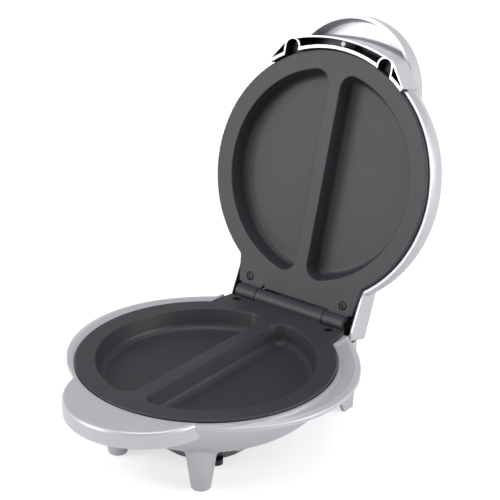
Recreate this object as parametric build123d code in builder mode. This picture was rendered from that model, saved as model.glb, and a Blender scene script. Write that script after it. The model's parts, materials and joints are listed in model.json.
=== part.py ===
from build123d import *
import math
import os

# Electric omelette maker: a round clamshell cooker, standing open.
# +X runs along the hinge, +Y points to the hinge at the back, +Z is up.
# Pieces are modelled about the centre of the round plates, with the lid closed.
# The lid's pieces are then turned back about the hinge to the open stop, and all
# pieces are shifted along Y so that the origin lies under the middle of the whole.

# ---------------------------------------------------------------- driving sizes (mm)
# cooking plates
plate_radius = 100.0
plate_thickness = 3.5
plate_edge_round = 1.2
plate_top_height = 72.5
plate_gap = 2.6
cavity_radius = 84.7
cavity_depth = 15.5
cavity_corner = 11.0
cavity_draft = 13.5
cavity_floor_round = 5.5
cavity_mouth_round = 0.8
cavity_wall = 2.5
rib_width = 11.7
tab_half_root = 60.0
tab_root_y = 80.0
tab_half_end = 56.5
tab_screw_x = 46.2
tab_screw_y = 96.1
post_radius = 3.6
post_front_y = -40.0
post_back_y = 38.0
plate_lug_radius = 5.2
plate_lug_thickness = 3.0
plate_lug_step = 3.0

# hinge
hinge_y = 109.9
lid_opening = 105.4
knuckle_radius = 6.4
knuckle_clearance = 0.5
middle_knuckle_half = 33.0
knuckle_gap = 0.8
knuckle_end = 53.0
pin_radius = 2.5
pin_running_clearance = 0.05
pin_end_recess = 0.8
pin_chamfer = 0.5
tab_notch_x = 30.5
tab_notch_width = 3.2

# moulded shells
shell_wall = 2.5
plate_side_gap = 0.9
waist_wall_share = 0.8
waist_lift_share = 0.6

# base housing
lip_width = 2.3
lip_below_plate = 1.7
ledge_width = 5.0
bowl_top_radius = 102.4
bowl_top_height = 65.5
bowl_waist_radius = 86.0
bowl_waist_height = 40.0
bowl_rim_radius = 63.0
bowl_rim_height = 27.0
bowl_mouth_radius = 56.0
wing_reach = 14.4
wing_blend_radius = 100.0
wing_blend_angle = 26.0
wing_start_x = 56.0
wing_heel_flattening = 100.0
wing_heel_angle = 44.0
wing_step = 1.3
wing_thickness = 4.2
wing_bevel_width = 4.5
wing_bevel_drop = 1.2
wing_edge_round = 0.9
notch_half = 63.5
shelf_radius = 60.0
shelf_centre_y = -72.0
shelf_top_height = 71.0
shelf_height = 12.5
shelf_edge_round = 2.6
foot_x = 41.0
foot_y = -57.0
foot_tip_radius = 7.4
foot_root_radius = 13.2
foot_root_height = 40.0
foot_tip_round = 1.6
foot_blend = 4.0
foot_core_wall = 2.8
rear_block_half = 59.5
rear_block_front = 84.0
rear_block_back = 117.5
rear_block_bottom = 21.0
rear_block_round = 4.0
rear_step_y = 102.2
rear_foot_front = 104.6
rear_foot_back = 116.0
rear_foot_lean = 13.0
rear_foot_width = 3.2
stop_clearance = 0.5
screw_boss_radius = 5.0
screw_boss_length = 18.0

# bottom cover
cover_edge_radius = 62.4
cover_edge_thickness = 2.4
cover_hub_radius = 38.5
cover_hub_height = 6.0
cover_flat_radius = 35.0
cover_flat_height = 2.6
cover_wall = 2.2
cover_hub_inside = 37.2
cover_flat_inside = 33.9
cover_screw_radius = 59.0
cover_screw_angles = (-28, -152, 48, 132)
cover_foot_gap = 0.5
cover_boss_radius = 3.6
cover_boss_height = 10.0
lug_reach = 45.5
lug_width = 10.0
lug_thickness = 4.5
lug_angles = (-40, -140, 40, 140)

# lid housing, heights measured from the lid plate's face
dome_rim_setback = 3.0
dome_rim_radius = 102.9
dome_side_radius = 104.2
dome_side_height = 12.5
dome_shoulder_radius = 100.0
dome_shoulder_drop = 18.0
dome_shoulder_round = 14.0
dome_crown_height = 42.0
front_arc_radius = 147.0
front_apex_y = -110.2
front_corner_x = 51.0
front_corner_round = 6.0
front_tip_x = 64.0
front_tip_y = -82.5
front_drop = 3.0
front_wall = 1.5
front_end_round = 2.0
ring_wall = 2.6
pocket_depth = 21.0
well_x = 44.0
well_y = -96.0
well_clearance = 0.7
handle_radius = 60.5
handle_centre_y = -69.0
handle_rim_height = 21.0
handle_top_height = 39.0
handle_edge_round = 5.0
handle_wall = 2.7
finger_hollow_depth = 14.0
block_half = 61.0
block_wall = 2.3
block_back_y = 121.5
block_front_y = 84.0
block_mouth_y = 117.0
block_back_height = 20.0
block_front_height = 24.0
block_edge_round = 2.0
block_overlap = 15.0
finger_hollow_round = 3.0
pocket_ceiling = 2.5

# heating
heater_radius = 3.3
heater_loop_radius = 52.0
heater_lead_x = 13.0
heater_lead_y = 80.0
heater_bend = 9.0
heater_pin_radius = 1.5
heater_pin_length = 9.0
reflector_radius = 70.0
reflector_flare = 77.0
reflector_height = 8.0
reflector_thickness = 0.8
reflector_drop = 3.0
reflector_slot_gap = 1.5
clamp_width = 12.0
clamp_thickness = 1.2
bracket_half = 16.0
bracket_front_y = -20.0
bracket_back_y = 26.0
thermostat_radius = 9.0
thermostat_height = 7.0
thermostat_cap_radius = 7.2
thermostat_cup_height = 4.9
thermostat_y = -8.0
fuse_radius = 2.2
fuse_length = 16.0
fuse_y = 17.0
fuse_end_round = 0.9

# fasteners
screw_head_radius = 3.3
screw_head_height = 2.0
screw_head_round = 0.9
screw_shank_radius = 1.6
screw_length = 12.0
recess_clearance = 0.35
cross_width = 1.1
cross_span = 4.1
cross_depth = 1.1

# small fittings
stud_radius = 2.2
stud_tip_round = 0.55
stud_setback = 4.4
stud_rise = 1.9
lens_radius = 4.0
lens_x = 13.0
lens_y = -92.0
lens_proud = 1.6
lens_round = 1.2
lens_bezel = 1.0
lamp_radius = 3.0
lamp_length = 12.0
lamp_tip_round = 1.5
holder_thickness = 2.0
holder_half = 20.0
holder_front_y = -106.0
holder_back_y = -87.0
gland_radius = 6.0
gland_flange_radius = 8.5
gland_flange_thickness = 2.5
gland_flange_round = 0.8
gland_bore_radius = 3.6
gland_height = 38.0
terminal_length = 26.0
terminal_width = 15.0
terminal_height = 13.0
terminal_y = 98.0
terminal_screw_radius = 2.0
terminal_screw_depth = 4.3
terminal_columns = 3

# ---------------------------------------------------------------- derived places
plate_back_height = plate_top_height - plate_thickness
cup_bottom_height = plate_top_height - cavity_depth - cavity_wall
heater_height = cup_bottom_height - heater_radius
reflector_top = cup_bottom_height - 2 * heater_radius - reflector_drop
hinge_height = plate_top_height + plate_gap / 2
lid_face_height = plate_top_height + plate_gap
lid_back_height = lid_face_height + plate_thickness
hinge_axis = Axis((0, hinge_y, hinge_height), (1, 0, 0))
parting_plane = Plane.XY.offset(hinge_height)
plate_clear_radius = plate_radius + plate_side_gap
outer_knuckle_start = middle_knuckle_half + knuckle_gap
tab_end_y = hinge_y - knuckle_radius - knuckle_clearance
lip_outer_radius = plate_clear_radius + lip_width
lip_top_height = plate_top_height - lip_below_plate
notch_lip_half = notch_half - lip_width
wing_radius = lip_outer_radius + wing_reach
wing_top_height = lip_top_height - wing_step
bowl_floor_height = bowl_rim_height + shell_wall
dome_rim_z = lid_face_height + dome_rim_setback
dome_side_z = lid_face_height + dome_side_height
dome_crown_z = lid_face_height + dome_crown_height
handle_rim_z = lid_face_height + handle_rim_height
handle_top_z = lid_face_height + handle_top_height
front_bottom_z = lid_face_height - front_drop
pocket_top_z = front_bottom_z + pocket_depth
well_seat_z = lid_back_height + plate_lug_step
well_top_z = well_seat_z + plate_lug_thickness
lug_root_y = -math.sqrt((cavity_radius + cavity_wall) ** 2 - well_x**2)
lug_edge_y = plate_edge_round - math.sqrt(plate_radius**2 - (well_x + plate_lug_radius) ** 2)
well_radius = plate_lug_radius + well_clearance
column_radius = well_radius + front_wall
left_and_right = (1, -1)


def turned_back(y, z):
    """Where a point of the closed lid comes to in the Y-Z plane when it is open."""
    turn = math.radians(-lid_opening)
    across, rise = y - hinge_y, z - hinge_height
    return (
        hinge_y + across * math.cos(turn) - rise * math.sin(turn),
        hinge_height + across * math.sin(turn) + rise * math.cos(turn),
    )


# the open lid leans on the rear wall of the base: its height follows from the swing
low_edge = turned_back(block_back_y, front_bottom_z)
far_edge = turned_back(block_back_y, lid_face_height + block_back_height)
lean = (far_edge[1] - low_edge[1]) / (far_edge[0] - low_edge[0])
stop_height = low_edge[1] + lean * (rear_block_back - low_edge[0]) - stop_clearance


# ---------------------------------------------------------------- shared shapes
def turned_profile(points):
    """A solid of revolution about the vertical axis from (radius, height) points."""
    with BuildPart() as body:
        with BuildSketch(Plane.XZ):
            with BuildLine():
                Polyline(*points, close=True)
            make_face()
        revolve(axis=Axis.Z)
    return body.part


def side_profile(points, half_width):
    """A prism across the hinge direction from (y, z) points."""
    with BuildPart() as body:
        with BuildSketch(Plane.YZ):
            with BuildLine():
                Polyline(*points, close=True)
            make_face()
        extrude(amount=half_width, both=True)
    return body.part


def half_moon_cup(grow, depth, floor_round):
    """A tapered half-moon body beside the rib, its mouth at z = 0 and its floor below."""
    near = rib_width / 2 - grow
    far = cavity_radius + grow
    with BuildPart() as body:
        with BuildSketch() as outline:
            Circle(far)
            with Locations((near, 0)):
                Rectangle(2 * far, 2 * far, align=(Align.MAX, Align.CENTER), mode=Mode.SUBTRACT)
            fillet(outline.vertices(), cavity_corner + grow)
        extrude(amount=-depth, taper=cavity_draft)
        fillet(body.faces().sort_by(Axis.Z)[0].edges(), floor_round)
    return body.part


def screws(seats, seat_z, head_up):
    """Cross-recess pan-head screws on (x, y) seats; the head's underside is at seat_z."""
    with BuildPart() as one:
        with BuildSketch():
            Circle(screw_head_radius)
        extrude(amount=screw_head_height)
        fillet(one.faces().sort_by(Axis.Z)[-1].edges(), screw_head_round)
        with BuildSketch(Plane.XY.offset(screw_head_height)):
            Rectangle(cross_width, cross_span)
            Rectangle(cross_span, cross_width)
        extrude(amount=-cross_depth, mode=Mode.SUBTRACT)
        with BuildSketch():
            Circle(screw_shank_radius)
        extrude(amount=-screw_length)
    turned = one.part if head_up else one.part.rotate(Axis.X, 180)
    with BuildPart() as group:
        with Locations(*[(x, y, seat_z) for x, y in seats]):
            add(turned)
    return group.part


def cooking_plate(knuckle_spans, bore_radius, has_lugs, has_notch):
    """A cast plate, cups down, with its hinge tab, posts and the given knuckles."""
    cavity = half_moon_cup(0, cavity_depth, cavity_floor_round)
    cup = half_moon_cup(
        cavity_wall, cavity_depth + cavity_wall - plate_edge_round / 2,
        cavity_floor_round + cavity_wall,
    )
    with BuildPart() as plate:
        with BuildSketch(Plane.XY.offset(plate_back_height)):
            Circle(plate_radius)
            with BuildLine():
                Polyline(
                    (-tab_half_root, tab_root_y), (-tab_half_end, tab_end_y),
                    (tab_half_end, tab_end_y), (tab_half_root, tab_root_y), close=True,
                )
            make_face()
        extrude(amount=plate_thickness)
        fillet(plate.faces().sort_by(Axis.Z)[-1].edges(), plate_edge_round)
        for side in left_and_right:
            shell = cup if side > 0 else cup.mirror(Plane.YZ)
            add(shell.moved(Location((0, 0, plate_top_height - plate_edge_round / 2))))
        with BuildSketch(Plane.XY.offset(plate_back_height + plate_thickness / 2)):
            with Locations((0, post_front_y), (0, post_back_y)):
                Circle(post_radius)
        extrude(amount=reflector_top - plate_back_height - plate_thickness / 2)
        with BuildSketch(Plane.XY.offset(reflector_top)):
            with Locations((0, post_front_y), (0, post_back_y)):
                Circle(screw_shank_radius)
        extrude(amount=screw_length, mode=Mode.SUBTRACT)
        if has_lugs:
            # tongues that step back under the plate's edge to the screw seats
            lug_low = plate_back_height - plate_lug_step - plate_lug_thickness
            with BuildSketch(Plane.XY.offset(lug_low)):
                for side in left_and_right:
                    with Locations((side * well_x, well_y)):
                        Circle(plate_lug_radius)
                        Rectangle(
                            2 * plate_lug_radius, lug_root_y - well_y,
                            align=(Align.CENTER, Align.MIN),
                        )
            extrude(amount=plate_lug_thickness)
            with BuildSketch(Plane.XY.offset(lug_low)):
                with Locations(*[(s * well_x, lug_edge_y) for s in left_and_right]):
                    Rectangle(
                        2 * plate_lug_radius, lug_root_y - lug_edge_y,
                        align=(Align.CENTER, Align.MIN),
                    )
            extrude(amount=plate_back_height - lug_low)
            with Locations(*[
                (s * well_x, well_y, plate_back_height - plate_lug_step) for s in left_and_right
            ]):
                Hole(screw_shank_radius, plate_lug_thickness)
        for side in left_and_right:
            hollow = cavity if side > 0 else cavity.mirror(Plane.YZ)
            add(hollow.moved(Location((0, 0, plate_top_height))), mode=Mode.SUBTRACT)
        mouths = plate.faces().sort_by(Axis.Z)[-1].inner_wires()
        fillet([edge for wire in mouths for edge in wire.edges()], cavity_mouth_round)
        for start, end in knuckle_spans:
            with BuildSketch(Plane.YZ.offset(start)):
                with Locations((hinge_y, hinge_height)):
                    Circle(knuckle_radius)
                with BuildLine():
                    Polyline(
                        (tab_end_y - 1, plate_back_height), (hinge_y, plate_back_height),
                        (hinge_y, plate_top_height), (tab_end_y - 1, plate_top_height), close=True,
                    )
                make_face()
            extrude(amount=end - start)
        with BuildSketch(Plane.YZ):
            with Locations((hinge_y, hinge_height)):
                Circle(bore_radius)
        extrude(amount=knuckle_end + 1, both=True, mode=Mode.SUBTRACT)
        with Locations(*[(s * tab_screw_x, tab_screw_y, plate_top_height) for s in left_and_right]):
            CounterBoreHole(
                screw_shank_radius, screw_head_radius + recess_clearance, screw_head_height,
                plate_thickness,
            )
        if has_notch:
            with Locations((-tab_notch_x, tab_end_y, plate_top_height)):
                Box(tab_notch_width, 2 * tab_notch_width, 3 * plate_thickness, mode=Mode.SUBTRACT)
    return plate.part


def heating_element():
    """A sheathed element: a loop under the cups and two straight leads to the back."""
    meet_y = math.sqrt(heater_loop_radius**2 - heater_lead_x**2)
    meet_angle = math.degrees(math.atan2(meet_y, heater_lead_x))
    with BuildPart() as element:
        with BuildLine(Plane.XY.offset(heater_height)) as path:
            Line((heater_lead_x, heater_lead_y), (heater_lead_x, meet_y))
            CenterArc((0, 0), heater_loop_radius, meet_angle, -180 - 2 * meet_angle)
            Line((-heater_lead_x, meet_y), (-heater_lead_x, heater_lead_y))
            corners = [v for v in path.vertices() if abs(v.Y - meet_y) < 0.1]
            fillet(corners, heater_bend)
        with BuildSketch(Plane((heater_lead_x, heater_lead_y, heater_height), z_dir=(0, -1, 0))):
            Circle(heater_radius)
        sweep()
        with BuildSketch(Plane.XZ.offset(heater_radius - heater_lead_y)):
            with Locations((heater_lead_x, heater_height), (-heater_lead_x, heater_height)):
                Circle(heater_pin_radius)
        extrude(amount=-heater_pin_length - heater_radius)
    return element.part


def element_clamps():
    """Two steel saddles over the element, one under each cup."""
    saddle_half = 3.5 * heater_radius
    foot_length = 1.5 * heater_radius
    low = cup_bottom_height - 2 * heater_radius
    with BuildPart() as clamps:
        for side in left_and_right:
            with Locations((side * heater_loop_radius, 0, low)):
                Box(
                    2 * saddle_half, clamp_width, clamp_thickness,
                    align=(Align.CENTER, Align.CENTER, Align.MAX),
                )
            for end in left_and_right:
                x = side * heater_loop_radius + end * (saddle_half - foot_length / 2)
                with Locations((x, 0, low)):
                    Box(
                        foot_length, clamp_width, 2 * heater_radius,
                        align=(Align.CENTER, Align.CENTER, Align.MIN),
                    )
    return clamps.part


def reflector_pan():
    """A thin pressed pan between the element and the housing, screwed to the posts."""
    low = reflector_top - reflector_thickness
    rise = reflector_top + reflector_height
    pan = turned_profile([
        (0, low), (reflector_radius, low), (reflector_flare, rise),
        (reflector_flare - reflector_thickness, rise),
        (reflector_radius - reflector_thickness, reflector_top), (0, reflector_top),
    ])
    with BuildPart() as body:
        add(pan)
        with Locations((0, post_front_y, reflector_top), (0, post_back_y, reflector_top)):
            Hole(screw_shank_radius, reflector_thickness)
        # slots in the flare for the element's leads
        with BuildSketch(Plane.XY.offset(reflector_top)):
            for side in left_and_right:
                with Locations((side * heater_lead_x, 0)):
                    Rectangle(
                        2 * (heater_radius + reflector_slot_gap), reflector_flare + 1,
                        align=(Align.CENTER, Align.MIN),
                    )
        extrude(amount=reflector_height + 1, mode=Mode.SUBTRACT)
    return body.part


def on_the_lid(part):
    """The same piece for the lid, mirrored about the parting plane."""
    return part.mirror(parting_plane)


# ---------------------------------------------------------------- base housing
def housing_wing():
    """The flange beside the plate: three tangent arcs in plan, with a bevelled outer edge."""
    centre_reach = wing_radius - wing_blend_radius
    blend_x = centre_reach * math.cos(math.radians(wing_blend_angle))
    blend_y = centre_reach * math.sin(math.radians(wing_blend_angle))
    start_y = blend_y - math.sqrt(wing_blend_radius**2 - (wing_start_x - blend_x) ** 2)
    start_angle = math.degrees(math.atan2(start_y - blend_y, wing_start_x - blend_x))
    heel_radius = wing_radius + wing_heel_flattening
    heel_x = -wing_heel_flattening * math.cos(math.radians(wing_heel_angle))
    heel_y = -wing_heel_flattening * math.sin(math.radians(wing_heel_angle))
    notch_angle = math.degrees(math.acos((notch_half - heel_x) / heel_radius))
    with BuildPart() as wing:
        with BuildSketch(Plane.XY.offset(wing_top_height - wing_thickness)):
            with BuildLine():
                blend = CenterArc(
                    (blend_x, blend_y), wing_blend_radius, start_angle, wing_blend_angle - start_angle,
                )
                CenterArc(
                    (0, 0), wing_radius, wing_blend_angle, wing_heel_angle - wing_blend_angle,
                )
                heel = CenterArc(
                    (heel_x, heel_y), heel_radius, wing_heel_angle, notch_angle - wing_heel_angle,
                )
                Polyline(heel @ 1, (notch_half, 0), (0, 0), blend @ 0)
            make_face()
        extrude(amount=wing_thickness)
        top = wing.faces().sort_by(Axis.Z)[-1]
        rim = top.edges().filter_by(GeomType.CIRCLE)
        chamfer(rim, wing_bevel_width, wing_bevel_drop, reference=top)
        bevel_foot = wing.edges().filter_by(GeomType.CIRCLE).filter_by(
            lambda edge: abs(edge.center().Z - wing_top_height + wing_bevel_drop) < 0.01
        )
        fillet(bevel_foot, wing_edge_round)
        mirror(about=Plane.YZ)
    return wing.part


def handle_disc(centre_y, radius, bottom, top, edge_round):
    """Either half of the round handle, with a rounded top edge unless that is 0."""
    with BuildPart() as disc:
        with BuildSketch(Plane.XY.offset(bottom)):
            with Locations((0, centre_y)):
                Circle(radius)
        extrude(amount=top - bottom)
        if edge_round > 0:
            fillet(disc.faces().sort_by(Axis.Z)[-1].edges(), edge_round)
    return disc.part


def foot_cone(tip_radius, root_radius, bottom, tip_round, top=foot_root_height):
    """A tapered front foot that stands upright."""
    with BuildPart() as foot:
        with BuildSketch(Plane.XY.offset(bottom)):
            Circle(tip_radius)
        with BuildSketch(Plane.XY.offset(top)):
            Circle(root_radius)
        loft()
        if tip_round > 0:
            fillet(foot.faces().sort_by(Axis.Z)[0].edges(), tip_round)
    return foot.part


with BuildPart() as bowl_outside:
    with BuildSketch(Plane.XZ):
        with BuildLine():
            Line((0, bowl_rim_height), (bowl_rim_radius, bowl_rim_height))
            ThreePointArc(
                (bowl_rim_radius, bowl_rim_height), (bowl_waist_radius, bowl_waist_height),
                (bowl_top_radius, bowl_top_height),
            )
            Polyline(
                (bowl_top_radius, bowl_top_height), (bowl_top_radius, wing_top_height - 1),
                (0, wing_top_height - 1), (0, bowl_rim_height),
            )
        make_face()
    revolve(axis=Axis.Z)

with BuildPart() as bowl_inside:
    with BuildSketch(Plane.XZ):
        with BuildLine():
            Line((0, bowl_floor_height), (bowl_rim_radius - shell_wall / 2, bowl_floor_height))
            ThreePointArc(
                (bowl_rim_radius - shell_wall / 2, bowl_floor_height),
                (
                    bowl_waist_radius - shell_wall * waist_wall_share,
                    bowl_waist_height + shell_wall * waist_lift_share,
                ),
                (bowl_top_radius - shell_wall, bowl_top_height - shell_wall),
            )
            Polyline(
                (bowl_top_radius - shell_wall, bowl_top_height - shell_wall),
                (plate_clear_radius - ledge_width, plate_back_height - shell_wall),
                (plate_clear_radius - ledge_width, plate_back_height),
                (0, plate_back_height), (0, bowl_floor_height),
            )
        make_face()
    revolve(axis=Axis.Z)

rear_block = side_profile(
    [
        (rear_block_front, rear_block_bottom), (rear_block_back, rear_block_bottom),
        (rear_block_back, stop_height), (rear_step_y, stop_height),
        (rear_step_y, plate_back_height), (rear_block_front, plate_back_height),
    ],
    rear_block_half,
)
rear_block_inside = side_profile(
    [
        (rear_block_front + shell_wall, rear_block_bottom + shell_wall),
        (rear_block_back - shell_wall, rear_block_bottom + shell_wall),
        (rear_block_back - shell_wall, stop_height - shell_wall),
        (rear_step_y - shell_wall, stop_height - shell_wall),
        (rear_step_y - shell_wall, plate_back_height - shell_wall),
        (rear_block_front + shell_wall, plate_back_height - shell_wall),
    ],
    rear_block_half - shell_wall,
)
shelf_inside = handle_disc(
    shelf_centre_y, shelf_radius - shell_wall, shelf_top_height - shelf_height - 1,
    shelf_top_height - shell_wall, 0,
) - bowl_outside.part
foot_core = foot_cone(
    foot_tip_radius - foot_core_wall, foot_root_radius - foot_core_wall, foot_core_wall, 0,
)

# The bowl's curve is carried on below the rim while the foot roots are blended into it. The rim
# then cuts it off, and the feet go on below.
bowl_curve = ThreePointArc(
    (bowl_rim_radius, bowl_rim_height), (bowl_waist_radius, bowl_waist_height),
    (bowl_top_radius, bowl_top_height),
)
curve_low_x = math.hypot(foot_x, foot_y) - foot_root_radius - foot_blend
curve_low_height = bowl_curve.arc_center.Y - math.sqrt(
    bowl_curve.radius**2 - (curve_low_x - bowl_curve.arc_center.X) ** 2
)
foot_widening = (foot_root_radius - foot_tip_radius) / foot_root_height
foot_rim_radius = foot_tip_radius + foot_widening * bowl_rim_height
foot_high_radius = foot_tip_radius + foot_widening * bowl_top_height
with BuildPart() as bowl_and_feet:
    with BuildSketch(Plane.XZ):
        with BuildLine():
            Line((0, curve_low_height), (curve_low_x, curve_low_height))
            ThreePointArc(
                (curve_low_x, curve_low_height), (bowl_waist_radius, bowl_waist_height),
                (bowl_top_radius, bowl_top_height),
            )
            Polyline(
                (bowl_top_radius, bowl_top_height), (bowl_top_radius, wing_top_height - 1),
                (0, wing_top_height - 1), (0, curve_low_height),
            )
        make_face()
    revolve(axis=Axis.Z)
    with Locations((foot_x, foot_y, 0), (-foot_x, foot_y, 0)):
        add(foot_cone(foot_tip_radius, foot_high_radius, 0, 0, bowl_top_height))
    roots = bowl_and_feet.edges().filter_by(
        lambda edge: math.hypot(abs(edge.center().X) - foot_x, edge.center().Y - foot_y)
        < foot_high_radius and foot_root_height / 2 < edge.center().Z < bowl_top_height
    )
    fillet(roots, foot_blend)
    split(bisect_by=Plane.XY.offset(bowl_rim_height), keep=Keep.TOP)
    with Locations((foot_x, foot_y, 0), (-foot_x, foot_y, 0)):
        add(foot_cone(foot_tip_radius, foot_rim_radius, 0, foot_tip_round, bowl_rim_height))
        add(foot_core, mode=Mode.SUBTRACT)

with BuildPart() as base_housing:
    add(bowl_and_feet.part)
    add(housing_wing())
    add(handle_disc(
        shelf_centre_y, shelf_radius, shelf_top_height - shelf_height, shelf_top_height,
        shelf_edge_round,
    ))
    add(rear_block)
    # lip round the plate, turned back along both sides of the hinge tab
    with BuildSketch(Plane.XY.offset(plate_back_height - shell_wall)):
        Circle(lip_outer_radius)
        with BuildLine():
            Polyline(
                (-notch_half, 0), (-notch_half, rear_step_y - shell_wall),
                (notch_half, rear_step_y - shell_wall), (notch_half, 0), close=True,
            )
        make_face()
    extrude(amount=lip_top_height - plate_back_height + shell_wall)
    # rear feet: flat fins under the ends of the rear block
    for side in left_and_right:
        with BuildSketch(Plane.YZ.offset(side * rear_block_half)):
            with BuildLine():
                Polyline(
                    (rear_foot_front, 0), (rear_foot_back, 0),
                    (rear_block_back, rear_block_bottom + shell_wall),
                    (rear_foot_front - rear_foot_lean, rear_block_bottom + shell_wall), close=True,
                )
            make_face()
        extrude(amount=-side * rear_foot_width)
    # hollows
    add(bowl_inside.part, mode=Mode.SUBTRACT)
    add(rear_block_inside, mode=Mode.SUBTRACT)
    add(shelf_inside, mode=Mode.SUBTRACT)
    with BuildSketch(Plane.XY.offset(bowl_rim_height)):
        Circle(bowl_mouth_radius)
    extrude(amount=shell_wall, mode=Mode.SUBTRACT)
    # well for the plate and its tab
    with BuildSketch(Plane.XY.offset(plate_back_height)):
        Circle(plate_clear_radius)
        with BuildLine():
            Polyline(
                (-notch_lip_half, 0), (-notch_lip_half, hinge_y),
                (notch_lip_half, hinge_y), (notch_lip_half, 0), close=True,
            )
        make_face()
    extrude(amount=shelf_top_height, mode=Mode.SUBTRACT)
    # bosses under the tab screws and over the cover screws
    with BuildSketch(Plane.XY.offset(plate_back_height)):
        with Locations((tab_screw_x, tab_screw_y), (-tab_screw_x, tab_screw_y)):
            Circle(screw_boss_radius)
    extrude(amount=-screw_boss_length)
    with BuildSketch(Plane.XY.offset(bowl_floor_height)):
        for angle in cover_screw_angles:
            with Locations(Location((0, 0), angle)):
                with Locations((cover_screw_radius, 0)):
                    Circle(cover_boss_radius)
    extrude(amount=cover_boss_height)
    with Locations(*[(s * tab_screw_x, tab_screw_y, plate_back_height) for s in left_and_right]):
        Hole(screw_shank_radius, screw_length)
    with BuildSketch(Plane.XY.offset(bowl_rim_height)):
        for angle in cover_screw_angles:
            with Locations(Location((0, 0), angle)):
                with Locations((cover_screw_radius, 0)):
                    Circle(screw_shank_radius)
    extrude(amount=screw_length, mode=Mode.SUBTRACT)
    with BuildSketch(Plane.XZ.offset(-rear_block_back)):
        with Locations((0, gland_height)):
            Circle(gland_radius)
    extrude(amount=shell_wall, mode=Mode.SUBTRACT)

# ---------------------------------------------------------------- base fittings
with BuildPart() as bottom_cover:
    add(turned_profile([
        (0, cover_flat_height), (cover_flat_radius, cover_flat_height),
        (cover_hub_radius, cover_hub_height),
        (cover_edge_radius, bowl_rim_height - cover_edge_thickness),
        (cover_edge_radius, bowl_rim_height),
        (bowl_mouth_radius - cover_wall, bowl_rim_height),
        (cover_hub_inside, cover_hub_height + cover_wall),
        (cover_flat_inside, cover_flat_height + cover_wall),
        (0, cover_flat_height + cover_wall),
    ]))
    # lugs that keep a wound lead on the hub
    with BuildSketch(Plane.XY.offset(cover_flat_height)):
        for angle in lug_angles:
            with Locations(Location((0, 0), angle)):
                with Locations((cover_flat_radius - cover_wall, 0)):
                    Rectangle(
                        lug_reach - lug_width / 2 - cover_flat_radius + cover_wall, lug_width,
                        align=(Align.MIN, Align.CENTER),
                    )
                with Locations((lug_reach - lug_width / 2, 0)):
                    Circle(lug_width / 2)
    extrude(amount=lug_thickness)
    # room for the front feet
    with Locations((foot_x, foot_y, 0), (-foot_x, foot_y, 0)):
        add(
            foot_cone(foot_tip_radius + cover_foot_gap, foot_root_radius + cover_foot_gap, 0, 0),
            mode=Mode.SUBTRACT,
        )
    # flat seats and holes for the screw heads
    with BuildSketch(Plane.XY.offset(bowl_rim_height - cover_edge_thickness)):
        for angle in cover_screw_angles:
            with Locations(Location((0, 0), angle)):
                with Locations((cover_screw_radius, 0)):
                    Circle(screw_head_radius + recess_clearance)
    extrude(amount=-cover_hub_height, mode=Mode.SUBTRACT)
    with BuildSketch(Plane.XY.offset(bowl_rim_height)):
        for angle in cover_screw_angles:
            with Locations(Location((0, 0), angle)):
                with Locations((cover_screw_radius, 0)):
                    Circle(screw_shank_radius)
    extrude(amount=-cover_edge_thickness, mode=Mode.SUBTRACT)

with BuildPart() as cord_gland:
    with BuildSketch(Plane.XZ.offset(-rear_block_back + shell_wall)):
        with Locations((0, gland_height)):
            Circle(gland_radius)
    extrude(amount=-shell_wall)
    with BuildSketch(Plane.XZ.offset(-rear_block_back)):
        with Locations((0, gland_height)):
            Circle(gland_flange_radius)
    extrude(amount=-gland_flange_thickness)
    fillet(cord_gland.faces().sort_by(Axis.Y)[-1].edges(), gland_flange_round)
    with BuildSketch(Plane.XZ.offset(-rear_block_back + shell_wall)):
        with Locations((0, gland_height)):
            Circle(gland_bore_radius)
    extrude(amount=-shell_wall - gland_flange_thickness, mode=Mode.SUBTRACT)

terminal_floor = rear_block_bottom + shell_wall
with BuildPart() as terminal_block:
    with Locations((0, terminal_y, terminal_floor)):
        Box(
            terminal_length, terminal_width, terminal_height,
            align=(Align.CENTER, Align.CENTER, Align.MIN),
        )
    with Locations((0, terminal_y, terminal_floor + terminal_height)):
        with GridLocations(terminal_length / terminal_columns, terminal_width / 2, terminal_columns, 2):
            Hole(terminal_screw_radius, terminal_screw_depth)

with BuildPart() as thermostat_bracket:
    with Locations((0, (bracket_front_y + bracket_back_y) / 2, cup_bottom_height)):
        Box(
            2 * bracket_half, bracket_back_y - bracket_front_y, clamp_thickness,
            align=(Align.CENTER, Align.CENTER, Align.MAX),
        )

bracket_low = cup_bottom_height - clamp_thickness
with BuildPart() as thermostat:
    with BuildSketch(Plane.XY.offset(bracket_low)):
        with Locations((0, thermostat_y)):
            Circle(thermostat_radius)
    extrude(amount=-thermostat_cup_height)
    with BuildSketch(Plane.XY.offset(bracket_low)):
        with Locations((0, thermostat_y)):
            Circle(thermostat_cap_radius)
    extrude(amount=-thermostat_height)

with BuildPart() as thermal_fuse:
    with BuildSketch(Plane.YZ):
        with Locations((fuse_y, bracket_low - fuse_radius)):
            Circle(fuse_radius)
    extrude(amount=fuse_length / 2, both=True)
    fillet(thermal_fuse.edges(), fuse_end_round)

with BuildPart() as hinge_pin:
    with BuildSketch(Plane.YZ):
        with Locations((hinge_y, hinge_height)):
            Circle(pin_radius)
    extrude(amount=knuckle_end - pin_end_recess, both=True)
    chamfer(hinge_pin.edges(), pin_chamfer)

# ---------------------------------------------------------------- plates and heating
lower_plate = cooking_plate([(-middle_knuckle_half, middle_knuckle_half)], pin_radius, False, False)
upper_plate = on_the_lid(cooking_plate(
    [(-knuckle_end, -outer_knuckle_start), (outer_knuckle_start, knuckle_end)],
    pin_radius + pin_running_clearance, True, True,
))
tab_seats = [(tab_screw_x, tab_screw_y), (-tab_screw_x, tab_screw_y)]
post_seats = [(0, post_front_y), (0, post_back_y)]
tab_screws = screws(tab_seats, plate_top_height - screw_head_height, True)
post_screws = screws(post_seats, reflector_top - reflector_thickness, False)

# ---------------------------------------------------------------- lid housing
dome_corner_z = dome_crown_z - dome_shoulder_drop


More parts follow.
